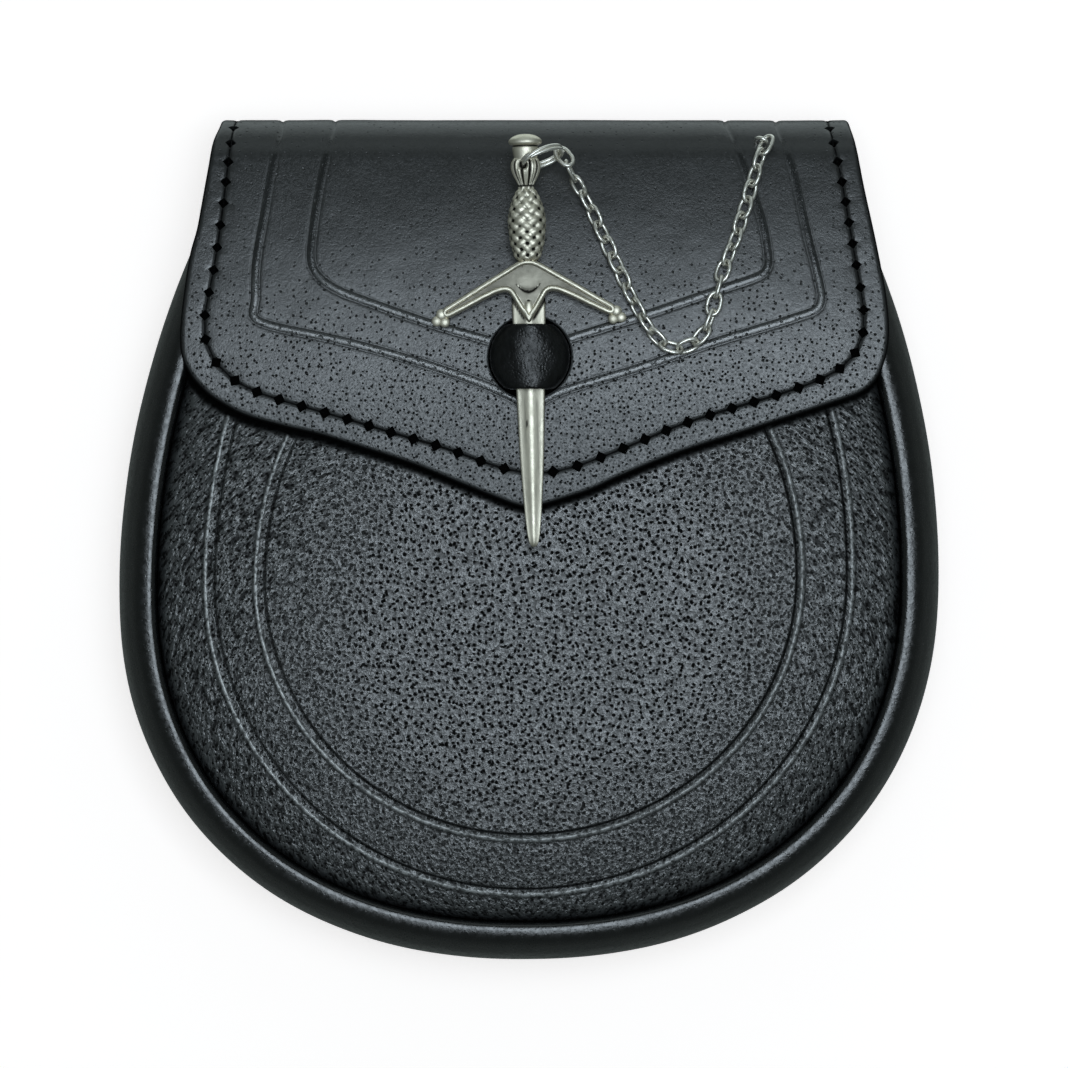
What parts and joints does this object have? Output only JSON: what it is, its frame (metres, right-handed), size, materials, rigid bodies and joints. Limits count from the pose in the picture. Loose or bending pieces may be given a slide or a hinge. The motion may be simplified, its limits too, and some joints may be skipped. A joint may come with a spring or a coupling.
{
  "type": "sporran pouch",
  "caption": "Stiff leather day sporran: a hollow pouch with a rolled rim and a folded flap, shut by a small metal sword on a chain.",
  "frame": {"origin": "the middle of the pouch's box, on the outer face of the back panel, which it lies on", "axes": "+Z out of the front, +Y towards the folded top, +X to the right as the front is seen"},
  "size_m": [0.18, 0.1841, 0.046],
  "materials": {
    "smooth_leather": "smooth black leather with small pores and a soft blue-grey sheen",
    "rim_leather": "smooth black leather, satin",
    "grained_leather": "black leather with a coarse raised grain",
    "loop_leather": "smooth black leather, satin",
    "cast_metal": "antique nickel plate on a casting, warm grey, darker in the hollows",
    "chain_metal": "bright nickel plated wire"
  },
  "bodies": {
    "root": {"flap_and_back": "smooth_leather", "gusset": "rim_leather", "front_panel": "grained_leather", "closure_loop": "loop_leather", "sword_pin": "cast_metal", "pommel_ring": "chain_metal", "chain_staple": "chain_metal", "chain_link_01": "chain_metal", "chain_link_02": "chain_metal", "chain_link_03": "chain_metal", "chain_link_04": "chain_metal", "chain_link_05": "chain_metal", "chain_link_06": "chain_metal", "chain_link_07": "chain_metal", "chain_link_08": "chain_metal", "chain_link_09": "chain_metal", "chain_link_10": "chain_metal", "chain_link_11": "chain_metal", "chain_link_12": "chain_metal", "chain_link_13": "chain_metal", "chain_link_14": "chain_metal", "chain_link_15": "chain_metal", "chain_link_16": "chain_metal", "chain_link_17": "chain_metal", "chain_link_18": "chain_metal", "chain_link_19": "chain_metal", "chain_link_20": "chain_metal", "chain_link_21": "chain_metal", "chain_link_22": "chain_metal", "chain_link_23": "chain_metal", "chain_link_24": "chain_metal", "chain_link_25": "chain_metal", "chain_link_26": "chain_metal", "chain_link_27": "chain_metal", "chain_link_28": "chain_metal"}
  },
  "joints": []
}
